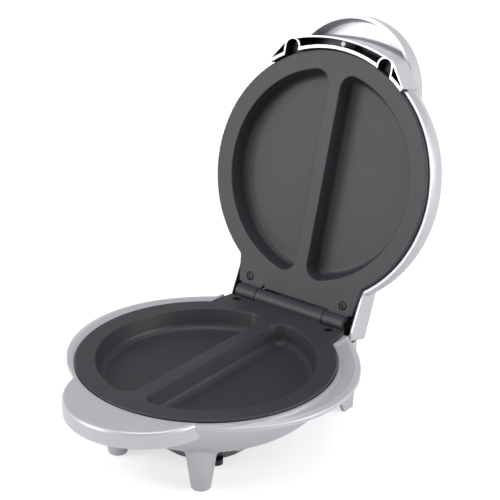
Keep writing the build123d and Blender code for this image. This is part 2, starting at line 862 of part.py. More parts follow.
def dome_body(shrink, rim_z):
    """The round dome of the lid, or its hollow when shrunk by the wall."""
    side = dome_side_radius - shrink
    shoulder = dome_shoulder_radius - shrink
    with BuildPart() as dome:
        with BuildSketch(Plane.XZ):
            with BuildLine():
                ThreePointArc(
                    (dome_rim_radius - shrink, rim_z), (side, dome_side_z),
                    (shoulder, dome_corner_z - shrink),
                )
                SagittaArc(
                    (shoulder, dome_corner_z - shrink), (-shoulder, dome_corner_z - shrink),
                    -dome_shoulder_drop,
                )
                Line((-shoulder, dome_corner_z - shrink), (-shoulder, rim_z))
                Line((-shoulder, rim_z), (dome_rim_radius - shrink, rim_z))
            make_face()
            with Locations((0, dome_crown_z)):
                Rectangle(
                    3 * side, 3 * dome_crown_z, align=(Align.MAX, Align.CENTER), mode=Mode.SUBTRACT,
                )
        revolve(axis=Axis.Z)
        corner = dome.edges().filter_by(GeomType.CIRCLE).sort_by(
            lambda edge: abs(edge.center().Z - dome_corner_z + shrink)
        )[0]
        fillet(corner, dome_shoulder_round - shrink)
    return dome.part


def front_outline(inset):
    """Plan of the lid's front wall: a shallow arc, two round corners, two slanted ends."""
    apex = front_apex_y + inset
    radius = front_arc_radius - inset
    corner_x = front_corner_x - inset
    corner_y = apex + radius - math.sqrt(radius**2 - corner_x**2)
    tip_x = front_tip_x - inset
    with BuildSketch() as outline:
        with BuildLine():
            ThreePointArc((-corner_x, corner_y), (0, apex), (corner_x, corner_y))
            Polyline(
                (corner_x, corner_y), (tip_x, front_tip_y), (tip_x * 0.5, front_tip_y * 0.5),
                (-tip_x * 0.5, front_tip_y * 0.5), (-tip_x, front_tip_y), (-corner_x, corner_y),
            )
        make_face()
        corners = outline.vertices().filter_by(lambda v: abs(v.Y - corner_y) < 0.01)
        fillet(corners, front_corner_round - inset)
    return outline.sketch


def well_slots(radius):
    """Two slots that run from the screw wells straight in under the plate."""
    with BuildSketch() as slots:
        with Locations((well_x, well_y), (-well_x, well_y)):
            Circle(radius)
            Rectangle(2 * radius, lug_root_y - well_y, align=(Align.CENTER, Align.MIN))
    return slots.sketch


with BuildPart() as finger_hollow:
    with BuildSketch(Plane.XY.offset(handle_rim_z - 1)):
        with Locations((0, handle_centre_y)):
            Circle(handle_radius - handle_wall)
        add(front_outline(0), mode=Mode.SUBTRACT)
        Circle(dome_side_radius, mode=Mode.SUBTRACT)
    extrude(amount=finger_hollow_depth + 1)
    fillet(finger_hollow.faces().sort_by(Axis.Z)[-1].edges(), finger_hollow_round)

with BuildPart() as pocket:
    with BuildSketch(Plane.XY.offset(front_bottom_z)):
        add(front_outline(front_wall))
        Circle(plate_clear_radius + ring_wall, mode=Mode.SUBTRACT)
        add(well_slots(column_radius), mode=Mode.SUBTRACT)
    extrude(amount=pocket_depth)

with BuildPart() as handle_hollow:
    with BuildSketch(Plane.XY.offset(pocket_top_z + pocket_ceiling)):
        add(front_outline(front_wall))
        with Locations((0, handle_centre_y)):
            Circle(handle_radius - handle_wall - front_wall, mode=Mode.INTERSECT)
    extrude(amount=handle_top_z - handle_wall - pocket_top_z - pocket_ceiling)

block_profile = [
    (block_front_y - block_overlap, dome_rim_z), (block_front_y, dome_rim_z),
    (block_mouth_y, front_bottom_z), (block_back_y, front_bottom_z),
    (block_back_y, lid_face_height + block_back_height),
    (block_front_y, lid_face_height + block_front_height),
    (block_front_y - block_overlap, lid_face_height + block_front_height),
]
block_inside_profile = [
    (block_front_y - block_overlap, front_bottom_z - 1), (block_back_y - block_wall, front_bottom_z - 1),
    (block_back_y - block_wall, lid_face_height + block_back_height - block_wall),
    (block_front_y, lid_face_height + block_front_height - block_wall),
    (block_front_y - block_overlap, lid_face_height + block_front_height - block_wall),
]
with BuildPart() as block_outside:
    add(side_profile(block_profile, block_half))
    long_edges = block_outside.edges().filter_by(Axis.X).filter_by(
        lambda edge: edge.center().Y > block_back_y - 0.1
    )
    ends = block_outside.faces().filter_by(Axis.X).edges().filter_by(
        lambda edge: edge.center().Y > block_front_y and edge.center().Z > lid_face_height + 5
    )
    fillet(long_edges + ends, block_edge_round)

# bosses over the tab screws, up to the roof of the hinge block
with BuildPart() as lid_bosses:
    with BuildSketch(Plane.XY.offset(lid_back_height)):
        with Locations((tab_screw_x, tab_screw_y), (-tab_screw_x, tab_screw_y)):
            Circle(screw_boss_radius)
    extrude(amount=block_front_height)
    add(block_outside.part, mode=Mode.INTERSECT)

with BuildPart() as front_body:
    with BuildSketch(Plane.XY.offset(front_bottom_z)):
        add(front_outline(0))
        Circle(plate_clear_radius, mode=Mode.SUBTRACT)
    extrude(amount=handle_rim_z - front_bottom_z)
    ends = front_body.faces().sort_by(Axis.Z)[-1].edges().filter_by(
        lambda edge: edge.geom_type == GeomType.LINE
    )
    fillet(ends, front_end_round)

with BuildPart() as lid_housing:
    add(dome_body(0, dome_rim_z))
    add(handle_disc(
        handle_centre_y, handle_radius, handle_rim_z, handle_top_z, handle_edge_round,
    ))
    add(front_body.part)
    add(block_outside.part)
    add(dome_body(shell_wall, dome_rim_z - 1), mode=Mode.SUBTRACT)
    add(side_profile(block_inside_profile, block_half - block_wall), mode=Mode.SUBTRACT)
    add(finger_hollow.part, mode=Mode.SUBTRACT)
    add(pocket.part, mode=Mode.SUBTRACT)
    add(handle_hollow.part, mode=Mode.SUBTRACT)
    with BuildSketch(Plane.XY.offset(front_bottom_z - 1)):
        add(well_slots(well_radius))
    extrude(amount=well_top_z - front_bottom_z + 1, mode=Mode.SUBTRACT)
    # room for the plate and its tab
    with BuildSketch(Plane.XY.offset(front_bottom_z - 1)):
        Circle(plate_clear_radius)
        with BuildLine():
            Polyline(
                (-tab_half_root - knuckle_clearance, tab_root_y),
                (-tab_half_end - knuckle_clearance, tab_end_y),
                (tab_half_end + knuckle_clearance, tab_end_y),
                (tab_half_root + knuckle_clearance, tab_root_y), close=True,
            )
        make_face()
    extrude(amount=lid_back_height + knuckle_clearance - front_bottom_z + 1, mode=Mode.SUBTRACT)
    add(lid_bosses.part)
    # screw holes
    with BuildSketch(Plane.XY.offset(lid_back_height)):
        with Locations((tab_screw_x, tab_screw_y), (-tab_screw_x, tab_screw_y)):
            Circle(screw_shank_radius)
    extrude(amount=screw_length, mode=Mode.SUBTRACT)
    with BuildSketch(Plane.XY.offset(well_seat_z)):
        with Locations((well_x, well_y), (-well_x, well_y)):
            Circle(screw_shank_radius)
    extrude(amount=screw_length, mode=Mode.SUBTRACT)
    # openings for the two lenses
    with BuildSketch(Plane.XY.offset(handle_top_z)):
        with Locations((lens_x, lens_y), (-lens_x, lens_y)):
            Circle(lens_radius)
    extrude(amount=-handle_wall, mode=Mode.SUBTRACT)

# ---------------------------------------------------------------- lid fittings
with BuildPart() as locating_stud:
    with BuildSketch(Plane.XY.offset(lid_face_height + stud_rise)):
        with Locations((0, front_apex_y + stud_setback)):
            Circle(stud_radius)
    extrude(amount=pocket_top_z - lid_face_height - stud_rise)
    fillet(locating_stud.faces().sort_by(Axis.Z)[0].edges(), stud_tip_round)

with BuildPart() as light_lens:
    with BuildSketch(Plane.XY.offset(handle_top_z - handle_wall)):
        Circle(lens_radius)
    extrude(amount=handle_wall)
    with BuildSketch(Plane.XY.offset(handle_top_z)):
        Circle(lens_radius + lens_bezel)
    extrude(amount=lens_proud)
    fillet(light_lens.faces().sort_by(Axis.Z)[-1].edges(), lens_round)

holder_floor = pocket_top_z + pocket_ceiling
with BuildPart() as lamp_holder:
    with Locations((0, (holder_front_y + holder_back_y) / 2, holder_floor)):
        Box(
            2 * holder_half, holder_back_y - holder_front_y, holder_thickness,
            align=(Align.CENTER, Align.CENTER, Align.MIN),
        )
    fillet(lamp_holder.edges().filter_by(Axis.Z), holder_thickness)

with BuildPart() as neon_lamps:
    with BuildSketch(Plane.XY.offset(holder_floor + holder_thickness)):
        with Locations((lens_x, lens_y), (-lens_x, lens_y)):
            Circle(lamp_radius)
    extrude(amount=lamp_length)
    fillet(neon_lamps.faces().sort_by(Axis.Z)[-2:].edges(), lamp_tip_round)

# ---------------------------------------------------------------- the named pieces
cover_screw_seats = [
    (
        cover_screw_radius * math.cos(math.radians(angle)),
        cover_screw_radius * math.sin(math.radians(angle)),
    )
    for angle in cover_screw_angles
]
well_seats = [(well_x, well_y), (-well_x, well_y)]
heater = heating_element()
clamps = element_clamps()
pan = reflector_pan()
base_pieces = {
    "base_housing": base_housing.part,
    "bottom_cover": bottom_cover.part,
    "bottom_cover_screws": screws(cover_screw_seats, bowl_rim_height - cover_edge_thickness, False),
    "lower_plate": lower_plate,
    "lower_plate_screws": tab_screws,
    "lower_heater": heater,
    "lower_heater_clamps": clamps,
    "lower_reflector": pan,
    "lower_reflector_screws": post_screws,
    "thermostat_bracket": thermostat_bracket.part,
    "thermostat": thermostat.part,
    "thermal_fuse": thermal_fuse.part,
    "terminal_block": terminal_block.part,
    "cord_gland": cord_gland.part,
    "hinge_pin": hinge_pin.part,
}
lid_pieces = {
    "lid_housing": lid_housing.part,
    "upper_plate": upper_plate,
    "upper_plate_screws": on_the_lid(tab_screws),
    "lid_front_screws": screws(well_seats, well_seat_z, False),
    "upper_heater": on_the_lid(heater),
    "upper_heater_clamps": on_the_lid(clamps),
    "upper_reflector": on_the_lid(pan),
    "upper_reflector_screws": on_the_lid(post_screws),
    "locating_stud": locating_stud.part,
    "power_light_lens": light_lens.part.moved(Location((-lens_x, lens_y, 0))),
    "ready_light_lens": light_lens.part.moved(Location((lens_x, lens_y, 0))),
    "lamp_holder": lamp_holder.part,
    "neon_lamps": neon_lamps.part,
}
pieces = dict(base_pieces)
for name, shape in lid_pieces.items():
    pieces[name] = shape.rotate(hinge_axis, -lid_opening)

# the origin goes under the middle of the whole, at table height
boxes = [shape.bounding_box() for shape in pieces.values()]
middle_y = (min(box.min.Y for box in boxes) + max(box.max.Y for box in boxes)) / 2
os.makedirs("parts", exist_ok=True)
for name, shape in pieces.items():
    placed = shape.moved(Location((0, -middle_y, 0)))
    placed.label = name
    export_step(placed, "parts/" + name + ".step")
    box = placed.bounding_box()
    print(
        name, len(placed.solids()), placed.is_valid, round(placed.volume),
        [round(v, 2) for v in (box.min.X, box.max.X, box.min.Y, box.max.Y, box.min.Z, box.max.Z)],
    )
print("shift along Y", round(-middle_y, 3))
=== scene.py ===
import json
import math

import bmesh
import bpy
from bpy.props import FloatProperty, FloatVectorProperty, PointerProperty
from mathutils import Matrix, Vector


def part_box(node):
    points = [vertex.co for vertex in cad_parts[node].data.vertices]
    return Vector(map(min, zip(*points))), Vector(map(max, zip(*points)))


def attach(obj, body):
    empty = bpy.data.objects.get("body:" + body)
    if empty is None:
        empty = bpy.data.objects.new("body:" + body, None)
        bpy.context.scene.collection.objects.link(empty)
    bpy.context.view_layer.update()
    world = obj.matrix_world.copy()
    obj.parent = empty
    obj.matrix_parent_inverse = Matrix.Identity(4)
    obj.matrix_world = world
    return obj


bl_info = {
    "name": "Omelette Maker Dressing",
    "version": (1, 0, 0),
    "blender": (4, 5, 0),
    "location": "View3D > Sidebar > Omelette",
    "description": "Finishes, small details and a studio for an open round omelette maker",
    "category": "Object",
}

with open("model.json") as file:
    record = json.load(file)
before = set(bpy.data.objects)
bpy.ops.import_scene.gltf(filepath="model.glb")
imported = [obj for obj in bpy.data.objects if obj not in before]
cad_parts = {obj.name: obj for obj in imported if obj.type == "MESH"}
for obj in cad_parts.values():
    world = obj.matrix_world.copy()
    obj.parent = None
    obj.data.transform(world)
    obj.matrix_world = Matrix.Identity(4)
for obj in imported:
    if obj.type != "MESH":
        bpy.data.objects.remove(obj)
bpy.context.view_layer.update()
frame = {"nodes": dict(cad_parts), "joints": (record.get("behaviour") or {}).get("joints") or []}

MM = 0.001
HINGE = next(joint for joint in frame["joints"] if joint["name"] == "lid_hinge")
HINGE_POINT = Vector(HINGE["pos_m"])
OPENING = math.radians(HINGE["range_deg"][1])
PLATE_LOW, PLATE_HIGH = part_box("lower_plate")
PLATE_RADIUS = (PLATE_HIGH.x - PLATE_LOW.x) / 2
PLATE_CENTRE_Y = PLATE_LOW.y + PLATE_RADIUS

# the view of the photograph: angles in degrees, lens and place in mm
VIEW_AZIMUTH, VIEW_ELEVATION, VIEW_ROLL = 36.993, 23.149, 0.973
VIEW_LENS, VIEW_SENSOR = 114.695, 36
VIEW_PLACE = (677.1, -846.1, 624.1)

# how much the floor adds to its lit tone for the camera, and in what mirrors it
FLOOR_CAMERA_GLOW, FLOOR_MIRROR_GLOW = 0.62, 0.3
FLOOR_SHADE_LOW, FLOOR_SHADE_HIGH = 0.54, 0.58
# heights, as a sine, between which the mirrored white sweep fades to the ceiling
SWEEP_FADE_START, SWEEP_FADE_END = 0.12, 0.38

# where the two ejector rings lie on the closed lid, in mm
ROOF_MARK = (-0.4, -118.9, 110.1)
WALL_MARK = (7.0, -110.05, 97.5)
RING_STEPS, RING_SIDES = 40, 8


# ---------------------------------------------------------------- small helpers
def linear(code):
    """An sRGB hex colour as linear RGBA, which is what shaders work in."""
    channels = [int(code[start:start + 2], 16) / 255 for start in (1, 3, 5)]
    return tuple(
        value / 12.92 if value <= 0.04045 else ((value + 0.055) / 1.055) ** 2.4
        for value in channels
    ) + (1.0,)


def add_node(tree, kind, inputs=None, **settings):
    """A shader node with its settings, its plain values and its links."""
    node = tree.nodes.new(kind)
    for name, value in settings.items():
        setattr(node, name, value)
    for socket, value in (inputs or {}).items():
        if isinstance(value, bpy.types.NodeSocket):
            tree.links.new(value, node.inputs[socket])
        else:
            node.inputs[socket].default_value = value
    return node


def new_material(name):
    """An empty material with a Principled surface; gives the tree and the shader."""
    material = bpy.data.materials.new(name)
    material.use_nodes = True
    tree = material.node_tree
    tree.nodes.clear()
    output = tree.nodes.new("ShaderNodeOutputMaterial")
    shader = tree.nodes.new("ShaderNodeBsdfPrincipled")
    tree.links.new(shader.outputs["BSDF"], output.inputs["Surface"])
    return material, tree, shader


def per_mm(size):
    """Noise scale whose features are about this many millimetres across."""
    return 1 / (size * MM)


def dress(names, material):
    """Give CAD nodes a finish through their material slots."""
    for name in names:
        slots = frame["nodes"][name].material_slots
        if not slots:
            raise RuntimeError("no material slot on " + name)
        for slot in slots:
            slot.material = material


def lid_space(point_mm):
    """A point given for the closed lid, plate centre at x = y = 0, taken to the open lid."""
    x, y, z = point_mm
    closed = Vector((x * MM, PLATE_CENTRE_Y + y * MM, z * MM))
    turn = Matrix.Rotation(-OPENING, 4, "X")
    return HINGE_POINT + turn @ (closed - HINGE_POINT)


def piece_from(name, mesh_builder, material, body):
    """A named mesh object that rides on a body."""
    mesh = bpy.data.meshes.new(name)
    made = bmesh.new()
    mesh_builder(made)
    bmesh.ops.recalc_face_normals(made, faces=made.faces)
    made.to_mesh(mesh)
    made.free()
    for polygon in mesh.polygons:
        polygon.use_smooth = True
    item = bpy.data.objects.new(name, mesh)
    bpy.context.scene.collection.objects.link(item)
    item.data.materials.append(material)
    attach(item, body)
    return item


# ---------------------------------------------------------------- finishes
def silver_painted_abs(name, look, bare_and_shade_mask=None):
    """Metallic silver paint on moulded ABS: a soft satin grey with fine flake.

    The paint reaches the outside and the rims only. Hidden inner faces stay bare black ABS;
    the same black is painted shade in the lid's deep front pocket. The mask, where given, returns 1
    on both.
    """
    material, tree, shader = new_material(name)
    place = add_node(tree, "ShaderNodeTexCoord").outputs["Object"]
    # aluminium flake is some 0.03 mm; it is drawn at 0.5 mm, or it wouldn't show
    flake = add_node(tree, "ShaderNodeTexNoise", {
        "Vector": place, "Scale": per_mm(0.5), "Detail": 2.0, "Roughness": 0.6,
    })
    # slow change in film thickness over some 60 mm
    film = add_node(tree, "ShaderNodeTexNoise", {
        "Vector": place, "Scale": per_mm(60), "Detail": 2.0,
    })
    flake_range = add_node(tree, "ShaderNodeMapRange", {
        "Value": flake.outputs["Fac"], "From Min": 0.35, "From Max": 0.65,
        "To Min": 0.955, "To Max": 1.045,
    })
    film_range = add_node(tree, "ShaderNodeMapRange", {
        "Value": film.outputs["Fac"], "From Min": 0.3, "From Max": 0.7,
        "To Min": 0.975, "To Max": 1.02,
    })
    level = add_node(tree, "ShaderNodeMath", {
        0: flake_range.outputs["Result"], 1: film_range.outputs["Result"],
    }, operation="MULTIPLY")
    tint = add_node(tree, "ShaderNodeVectorMath", {
        0: tuple(look.silver[:3]), 3: level.outputs["Value"],
    }, operation="SCALE")
    # orange peel of sprayed paint: ripples some 2.5 mm apart
    peel = add_node(tree, "ShaderNodeTexNoise", {
        "Vector": place, "Scale": per_mm(2.5), "Detail": 1.0,
    })
    bump = add_node(tree, "ShaderNodeBump", {
        "Height": peel.outputs["Fac"], "Strength": 0.06, "Distance": 0.4 * MM,
    })
    rough = add_node(tree, "ShaderNodeMapRange", {
        "Value": flake.outputs["Fac"], "From Min": 0.3, "From Max": 0.7,
        "To Min": look.silver_roughness - 0.04, "To Max": look.silver_roughness + 0.04,
    })
    colour, roughness = tint.outputs["Vector"], rough.outputs["Result"]
    metal = look.silver_metallic
    # black where the mask is 1: bare ABS on hidden inner faces, painted shade in the lid's front
    # pocket
    if bare_and_shade_mask:
        mask = bare_and_shade_mask(tree, place)
        colour = add_node(tree, "ShaderNodeMix", {
            "Factor": mask, 6: colour, 7: tuple(look.black_abs_and_shade),
        }, data_type="RGBA").outputs[2]
        roughness = add_node(tree, "ShaderNodeMix", {
            "Factor": mask, 2: roughness, 3: 0.5,
        }).outputs[0]
        metal = add_node(tree, "ShaderNodeMapRange", {
            "Value": mask, "To Min": look.silver_metallic, "To Max": 0.0,
        }).outputs["Result"]
        tree.links.new(metal, shader.inputs["Metallic"])
    else:
        shader.inputs["Metallic"].default_value = metal
    tree.links.new(colour, shader.inputs["Base Color"])
    tree.links.new(roughness, shader.inputs["Roughness"])
    tree.links.new(bump.outputs["Normal"], shader.inputs["Normal"])
    shader.inputs["IOR"].default_value = 1.5
    shader.inputs["Coat Weight"].default_value = 0.25
    shader.inputs["Coat Roughness"].default_value = 0.18
    return material


def lid_inside_and_pocket_shade(tree, place):
    """1 on the lid housing's hidden inner faces, left bare black, and in its deep front pocket,
    where the black is painted shade; worked out in the closed lid's frame.
    """
    shifted = add_node(tree, "ShaderNodeVectorMath", {
        0: place, 1: tuple(HINGE_POINT),
    }, operation="SUBTRACT")
    turned = add_node(tree, "ShaderNodeVectorRotate", {
        "Vector": shifted.outputs["Vector"], "Axis": (1, 0, 0), "Angle": OPENING,
    }, rotation_type="AXIS_ANGLE")
    closed = add_node(tree, "ShaderNodeVectorMath", {
        0: turned.outputs["Vector"],
        1: (0.0, HINGE_POINT.y - PLATE_CENTRE_Y, HINGE_POINT.z),
    }, operation="ADD")
    mm = add_node(tree, "ShaderNodeVectorMath", {
        0: closed.outputs["Vector"], 3: 1000.0,
    }, operation="SCALE")
    parts = add_node(tree, "ShaderNodeSeparateXYZ", {0: mm.outputs["Vector"]})
    x, y, z = (parts.outputs[axis] for axis in "XYZ")

    def math_node(operation, first, second=0.0, third=0.0):
        return add_node(tree, "ShaderNodeMath", {0: first, 1: second, 2: third},
                        operation=operation).outputs["Value"]

    def less(value, limit):
        return math_node("LESS_THAN", value, limit)

    def more(value, limit):
        return math_node("GREATER_THAN", value, limit)

    def both(*tests):
        result = tests[0]
        for test in tests[1:]:
            result = math_node("MULTIPLY", result, test)
        return result

    flat = add_node(tree, "ShaderNodeCombineXYZ", {0: x, 1: y})
    radius = add_node(tree, "ShaderNodeVectorMath", {0: flat.outputs["Vector"]},
                      operation="LENGTH").outputs["Value"]
    aside = math_node("ABSOLUTE", x)
    # distance from the centre of the front wall's long arc, radius 147 mm
    arc = add_node(tree, "ShaderNodeVectorMath", {
        0: flat.outputs["Vector"], 1: (0.0, 36.8, 0.0),
    }, operation="DISTANCE").outputs["Value"]
    # slanted ends run from (51, -101.1) to (64, -82.5)
    slant = math_node("ADD", math_node("MULTIPLY", aside, 0.8192),
                      math_node("MULTIPLY", y, -0.5735))
    # painted shade: the deep front pocket is drawn black where it lies in shadow
    pocket = both(less(arc, 146.2), less(slant, 98.9), more(z, 72.35), less(z, 94.5),
                  less(y, -80.0))
    dome = both(less(radius, 102.2), more(z, 78.3), less(z, 90.0))
    block = both(less(aside, 59.6), more(y, 80.0), less(y, 120.4), more(z, 72.7),
                 less(z, 93.0))
    rear = both(less(aside, 59.6), more(y, 80.0), less(y, 116.0), less(z, 78.8))
    hinge_end = math_node("MAXIMUM", block, rear)
    return math_node("MAXIMUM", pocket, math_node("MAXIMUM", dome, hinge_end))


def ptfe_coated_aluminium(name, look, tone):
    """Sprayed PTFE coating on die-cast aluminium: dark warm grey, satin, finely speckled."""
    material, tree, shader = new_material(name)
    place = add_node(tree, "ShaderNodeTexCoord").outputs["Object"]
    # sprayed droplets dry some 0.6 mm apart
    droplets = add_node(tree, "ShaderNodeTexNoise", {
        "Vector": place, "Scale": per_mm(0.6), "Detail": 3.0, "Roughness": 0.65,
    })
    # the coat is a little thicker in places, over some 35 mm
    clouds = add_node(tree, "ShaderNodeTexNoise", {
        "Vector": place, "Scale": per_mm(35), "Detail": 2.0,
    })
    level = add_node(tree, "ShaderNodeMapRange", {
        "Value": clouds.outputs["Fac"], "From Min": 0.3, "From Max": 0.7,
        "To Min": 0.92, "To Max": 1.08,
    })
    tint = add_node(tree, "ShaderNodeVectorMath", {
        0: tuple(tone[:3]), 3: level.outputs["Result"],
    }, operation="SCALE")
    speck = add_node(tree, "ShaderNodeMapRange", {
        "Value": droplets.outputs["Fac"], "From Min": 0.35, "From Max": 0.68,
        "To Min": 0.88, "To Max": 1.14,
    })
    speckled = add_node(tree, "ShaderNodeVectorMath", {
        0: tint.outputs["Vector"], 3: speck.outputs["Result"],
    }, operation="SCALE")
    rough = add_node(tree, "ShaderNodeMapRange", {
        "Value": droplets.outputs["Fac"], "From Min": 0.3, "From Max": 0.7,
        "To Min": look.coating_roughness - 0.05, "To Max": look.coating_roughness + 0.05,
    })
    bump = add_node(tree, "ShaderNodeBump", {
        "Height": droplets.outputs["Fac"], "Strength": 0.18, "Distance": 0.15 * MM,
    })
    tree.links.new(speckled.outputs["Vector"], shader.inputs["Base Color"])
    tree.links.new(rough.outputs["Result"], shader.inputs["Roughness"])
    tree.links.new(bump.outputs["Normal"], shader.inputs["Normal"])
    shader.inputs["IOR"].default_value = 1.45
    return material


def moulded_plastic(name, colour, roughness, grain_mm):
    """Injection-moulded plastic from a spark-eroded tool: even colour, fine matt grain."""
    material, tree, shader = new_material(name)
    place = add_node(tree, "ShaderNodeTexCoord").outputs["Object"]
    grain = add_node(tree, "ShaderNodeTexNoise", {
        "Vector": place, "Scale": per_mm(grain_mm), "Detail": 3.0, "Roughness": 0.6,
    })
    level = add_node(tree, "ShaderNodeMapRange", {
        "Value": grain.outputs["Fac"], "From Min": 0.3, "From Max": 0.7,
        "To Min": 0.9, "To Max": 1.1,
    })
    tint = add_node(tree, "ShaderNodeVectorMath", {
        0: tuple(colour[:3]), 3: level.outputs["Result"],
    }, operation="SCALE")
    rough = add_node(tree, "ShaderNodeMapRange", {
        "Value": grain.outputs["Fac"], "From Min": 0.3, "From Max": 0.7,
        "To Min": roughness - 0.06, "To Max": roughness + 0.06,
    })
    bump = add_node(tree, "ShaderNodeBump", {
        "Height": grain.outputs["Fac"], "Strength": 0.2, "Distance": 0.1 * MM,
    })
    tree.links.new(tint.outputs["Vector"], shader.inputs["Base Color"])
    tree.links.new(rough.outputs["Result"], shader.inputs["Roughness"])
    tree.links.new(bump.outputs["Normal"], shader.inputs["Normal"])
    shader.inputs["IOR"].default_value = 1.54
    return material


def drawn_metal(name, colour, roughness, streak_mm, streak_axis):
    """Rolled or drawn metal: fine streaks along the working direction."""
    material, tree, shader = new_material(name)
    place = add_node(tree, "ShaderNodeTexCoord").outputs["Object"]
    stretch = [1.0, 1.0, 1.0]
    stretch[streak_axis] = 0.05
    along = add_node(tree, "ShaderNodeVectorMath", {
        0: place, 1: tuple(stretch),
    }, operation="MULTIPLY")
    streaks = add_node(tree, "ShaderNodeTexNoise", {
        "Vector": along.outputs["Vector"], "Scale": per_mm(streak_mm), "Detail": 3.0,
    })
    level = add_node(tree, "ShaderNodeMapRange", {
        "Value": streaks.outputs["Fac"], "From Min": 0.3, "From Max": 0.7,
        "To Min": 0.88, "To Max": 1.08,
    })
    tint = add_node(tree, "ShaderNodeVectorMath", {
        0: tuple(colour[:3]), 3: level.outputs["Result"],
    }, operation="SCALE")
    rough = add_node(tree, "ShaderNodeMapRange", {
        "Value": streaks.outputs["Fac"], "From Min": 0.3, "From Max": 0.7,
        "To Min": roughness - 0.07, "To Max": roughness + 0.07,
    })
    bump = add_node(tree, "ShaderNodeBump", {
        "Height": streaks.outputs["Fac"], "Strength": 0.12, "Distance": 0.05 * MM,
    })
    tree.links.new(tint.outputs["Vector"], shader.inputs["Base Color"])
    tree.links.new(rough.outputs["Result"], shader.inputs["Roughness"])
    tree.links.new(bump.outputs["Normal"], shader.inputs["Normal"])
    shader.inputs["Metallic"].default_value = 1.0
    return material


def tinted_polycarbonate(name, colour):
    """Moulded tinted polycarbonate: glossy, lets some light through."""
    material, tree, shader = new_material(name)
    place = add_node(tree, "ShaderNodeTexCoord").outputs["Object"]
    ripple = add_node(tree, "ShaderNodeTexNoise", {
        "Vector": place, "Scale": per_mm(1.2), "Detail": 1.0,
    })
    level = add_node(tree, "ShaderNodeMapRange", {
        "Value": ripple.outputs["Fac"], "From Min": 0.3, "From Max": 0.7,
        "To Min": 0.85, "To Max": 1.1,
    })
    tint = add_node(tree, "ShaderNodeVectorMath", {
        0: tuple(colour[:3]), 3: level.outputs["Result"],
    }, operation="SCALE")
    tree.links.new(tint.outputs["Vector"], shader.inputs["Base Color"])
    shader.inputs["Roughness"].default_value = 0.12
    shader.inputs["IOR"].default_value = 1.58
    shader.inputs["Transmission Weight"].default_value = 0.35
    return material


# ---------------------------------------------------------------- user settings
def colour_setting(label, text, code):
    return FloatVectorProperty(
        name=label, description=text, default=linear(code), size=4, subtype="COLOR", min=0, max=1,
    )


class OmeletteLook(bpy.types.PropertyGroup):
    """Colours and sheen of the finishes."""

    silver: colour_setting("Silver paint", "Metallic paint on the base and the lid", "#C0C0C6")
    # this black is real on the bottom cover and gland, and also paints the shade in the lid's deep
    # front pocket
    black_abs_and_shade: colour_setting("Black ABS", "Bare moulded plastic inside and underneath", "#141416")
    coating: colour_setting("Plate coating", "Non-stick coating on both plates", "#322F34")
    bare_steel: colour_setting("Plated steel", "Screws and clamps inside", "#B7B6B2")
    # this dark tone is the screws' real blackening; on the steel hinge pin it is painted shade
    dark_steel_and_pin_shade: colour_setting("Blackened steel", "Screws that show and the pin", "#3A393A")
    sheath: colour_setting("Element sheath", "Heat-tinted steel of the elements", "#6C655E")
    tin_sheet: colour_setting("Aluminised sheet", "Reflector pans", "#C4C6C8")
    ceramic: colour_setting("Steatite", "Terminal block", "#E4DFD2")
    phenolic: colour_setting("Phenolic", "Thermostat body", "#2E1D15")
    pale_plastic: colour_setting("White plastic", "Stud in the lid's pocket", "#ECECEA")
    red: colour_setting("Red lens", "Power light", "#B01E16")
    green: colour_setting("Green lens", "Ready light", "#1E8A3C")
    silver_roughness: FloatProperty(
        name="Silver roughness", description="How satin the silver paint is",
        default=0.36, min=0.05, max=1.0, subtype="FACTOR",
    )
    silver_metallic: FloatProperty(
        name="Silver metallic", description="How much of the paint reads as metal flake",
        default=0.45, min=0.0, max=1.0, subtype="FACTOR",
    )
    coating_roughness: FloatProperty(
        name="Coating roughness", description="How matt the non-stick coating is",
        default=0.46, min=0.05, max=1.0, subtype="FACTOR",
    )


class OmeletteDetail(bpy.types.PropertyGroup):
    """Sizes of the small moulded details, in metres."""

    mark_roof: FloatProperty(
        name="Roof mark", description="Radius of the ejector-pin ring on the finger hollow's roof",
        default=2.7 * MM, unit="LENGTH", min=0.5 * MM,
    )
    mark_wall: FloatProperty(
        name="Wall mark", description="Radius of the ejector-pin ring on the finger hollow's wall",
        default=1.7 * MM, unit="LENGTH", min=0.5 * MM,
    )
    mark_width: FloatProperty(
        name="Ejector mark width", description="Width of the raised ring an ejector pin leaves",
        default=0.35 * MM, unit="LENGTH", min=0.1 * MM,
    )


class OmeletteStage(bpy.types.PropertyGroup):
    """The studio round the omelette maker."""

    floor_size: FloatProperty(
        name="Floor size", description="Edge of the pale floor", default=6.0, unit="LENGTH", min=1.0,
    )
    key_power: FloatProperty(
        name="Key light", description="Power of the large softbox at the front left",
        default=20.0, unit="POWER", min=0.0,
    )
    side_power: FloatProperty(
        name="Side light", description="Power of the softbox at the right and a little behind",
        default=22.0, unit="POWER", min=0.0,
    )
    top_power: FloatProperty(
        name="Top light", description="Power of the overhead softbox",
        default=14.0, unit="POWER", min=0.0,
    )
    low_power: FloatProperty(
        name="Low light", description="Power of the softbox near the floor at the front left",
        default=16.0, unit="POWER", min=0.0,
    )
    ambient: FloatProperty(
        name="Ambient", description="Strength of the even light from all round",
        default=0.46, min=0.0, max=2.0,
    )
    ceiling: FloatProperty(
        name="Ceiling", description="How bright the room above the sweep is in reflections",
        default=0.3, min=0.0, max=1.0,
    )


# ---------------------------------------------------------------- operators
class OMELETTE_OT_shells(bpy.types.Operator):
    """Paint the base and lid housings silver, with bare black inner faces and black painted shade in
    the lid's front pocket
    """

    bl_idname = "omelette.shells"
    bl_label = "Silver housings"

    def execute(self, context):
        look = context.scene.omelette_look
        dress(["base_housing"], silver_painted_abs("silver_painted_ABS_base", look))
        dress(["lid_housing"], silver_painted_abs("silver_painted_ABS_lid", look, lid_inside_and_pocket_shade))
        return {"FINISHED"}


